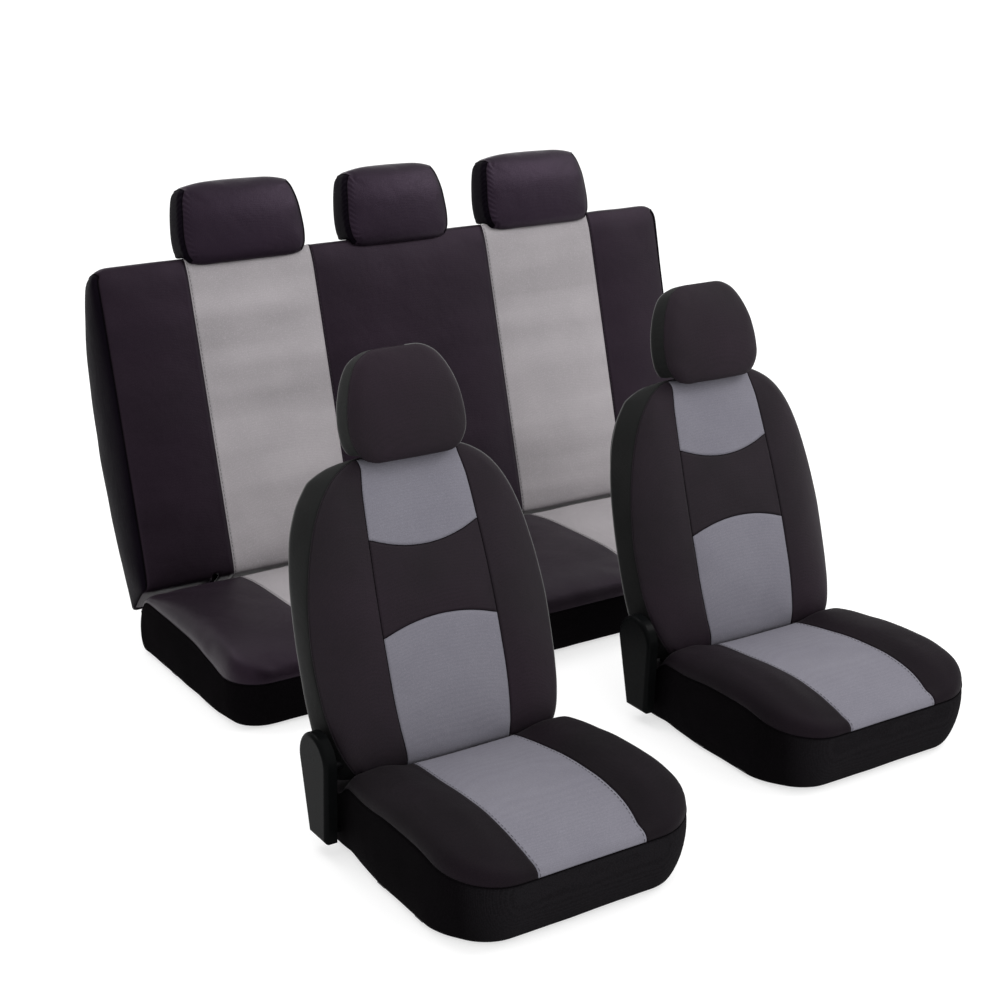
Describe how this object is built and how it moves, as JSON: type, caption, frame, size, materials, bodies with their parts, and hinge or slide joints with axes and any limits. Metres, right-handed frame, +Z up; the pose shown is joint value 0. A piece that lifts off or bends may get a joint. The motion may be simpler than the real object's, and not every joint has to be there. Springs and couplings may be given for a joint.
{
  "type": "seat cover set",
  "caption": "Two-tone padded cloth seat covers fitted on bucket seats and a bench, with headrest, backrest and bottom covers, reclining backs and lifting headrests.",
  "frame": {"origin": "middle of the footprint of the whole set, on the floor", "axes": "+Z up; the seats face -Y; +X to the right when facing +Y"},
  "size_m": [1.644, 1.7566, 1.0133],
  "materials": {
    "cover_black": "padded woven polyester, charcoal black with a plum cast",
    "cover_plum": "padded woven polyester, plum black with a satin sheen",
    "cover_skirt": "stretch knit polyester, near black",
    "cover_grey": "padded woven polyester, cool grey",
    "cover_grey_light": "padded satin-weave polyester, warm light grey",
    "seat_foam": "moulded polyurethane foam",
    "frame_steel": "black e-coated steel",
    "bright_steel": "polished, plated steel",
    "cap_plastic": "moulded black plastic, satin",
    "webbing": "elastic webbing"
  },
  "bodies": {
    "seat_bases": {"front_left_base_frame": "frame_steel", "front_left_cushion_foam": "seat_foam", "front_left_cushion_cover": "cover_black", "front_left_cushion_insert": "cover_grey", "front_left_skirt": "cover_skirt", "front_left_recliner_cap": "cap_plastic", "front_left_hinge_brackets": "frame_steel", "front_left_cover_straps": "webbing", "front_left_strap_buckles": "cap_plastic", "front_right_base_frame": "frame_steel", "front_right_cushion_foam": "seat_foam", "front_right_cushion_cover": "cover_black", "front_right_cushion_insert": "cover_grey", "front_right_skirt": "cover_skirt", "front_right_recliner_cap": "cap_plastic", "front_right_hinge_brackets": "frame_steel", "front_right_cover_straps": "webbing", "front_right_strap_buckles": "cap_plastic", "rear_base_frame": "frame_steel", "rear_cushion_foam": "seat_foam", "rear_cushion_cover": "cover_plum", "rear_cushion_insert": "cover_grey_light", "rear_skirt": "cover_skirt", "rear_hinge_brackets": "frame_steel", "rear_cover_straps": "webbing", "rear_strap_buckles": "cap_plastic"},
    "front_left_backrest": {"front_left_back_frame": "frame_steel", "front_left_back_foam": "seat_foam", "front_left_back_cover": "cover_black", "front_left_back_insert": "cover_grey", "front_left_recliner_shaft": "frame_steel", "front_left_post_sleeves": "cap_plastic"},
    "front_left_headrest": {"front_left_head_posts": "bright_steel", "front_left_head_foam": "seat_foam", "front_left_head_cover": "cover_black"},
    "front_right_backrest": {"front_right_back_frame": "frame_steel", "front_right_back_foam": "seat_foam", "front_right_back_cover": "cover_black", "front_right_back_insert": "cover_grey", "front_right_recliner_shaft": "frame_steel", "front_right_post_sleeves": "cap_plastic"},
    "front_right_headrest": {"front_right_head_posts": "bright_steel", "front_right_head_foam": "seat_foam", "front_right_head_cover": "cover_black"},
    "rear_backrest": {"rear_back_frame": "frame_steel", "rear_back_foam": "seat_foam", "rear_back_cover": "cover_plum", "rear_back_insert": "cover_grey_light", "rear_hinge_pins": "frame_steel", "rear_post_sleeves": "cap_plastic"},
    "rear_left_headrest": {"rear_left_head_posts": "bright_steel", "rear_left_head_foam": "seat_foam", "rear_left_head_cover": "cover_plum"},
    "rear_middle_headrest": {"rear_middle_head_posts": "bright_steel", "rear_middle_head_foam": "seat_foam", "rear_middle_head_cover": "cover_plum"},
    "rear_right_headrest": {"rear_right_head_posts": "bright_steel", "rear_right_head_foam": "seat_foam", "rear_right_head_cover": "cover_plum"}
  },
  "joints": [
    {"name": "front_left_recline", "type": "hinge", "parent": "seat_bases", "child": "front_left_backrest", "pos_m": [-0.539, -0.41825, 0.165], "axis": [-1, 0, 0], "range_deg": [-10, 25]},
    {"name": "front_left_head_lift", "type": "slide", "parent": "front_left_backrest", "child": "front_left_headrest", "axis": [0, 0.2924, 0.9563], "range_m": [0, 0.06]},
    {"name": "front_right_recline", "type": "hinge", "parent": "seat_bases", "child": "front_right_backrest", "pos_m": [0.267, -0.29225, 0.165], "axis": [-1, 0, 0], "range_deg": [-10, 25]},
    {"name": "front_right_head_lift", "type": "slide", "parent": "front_right_backrest", "child": "front_right_headrest", "axis": [0, 0.2924, 0.9563], "range_m": [0, 0.06]},
    {"name": "rear_back_fold", "type": "hinge", "parent": "seat_bases", "child": "rear_backrest", "pos_m": [0.042, 0.61475, 0.158], "axis": [1, 0, 0], "range_deg": [0, 35]},
    {"name": "rear_left_head_lift", "type": "slide", "parent": "rear_backrest", "child": "rear_left_headrest", "axis": [0, 0.2588, 0.9659], "range_m": [0, 0.06]},
    {"name": "rear_middle_head_lift", "type": "slide", "parent": "rear_backrest", "child": "rear_middle_headrest", "axis": [0, 0.2588, 0.9659], "range_m": [0, 0.06]},
    {"name": "rear_right_head_lift", "type": "slide", "parent": "rear_backrest", "child": "rear_right_headrest", "axis": [0, 0.2588, 0.9659], "range_m": [0, 0.06]}
  ]
}
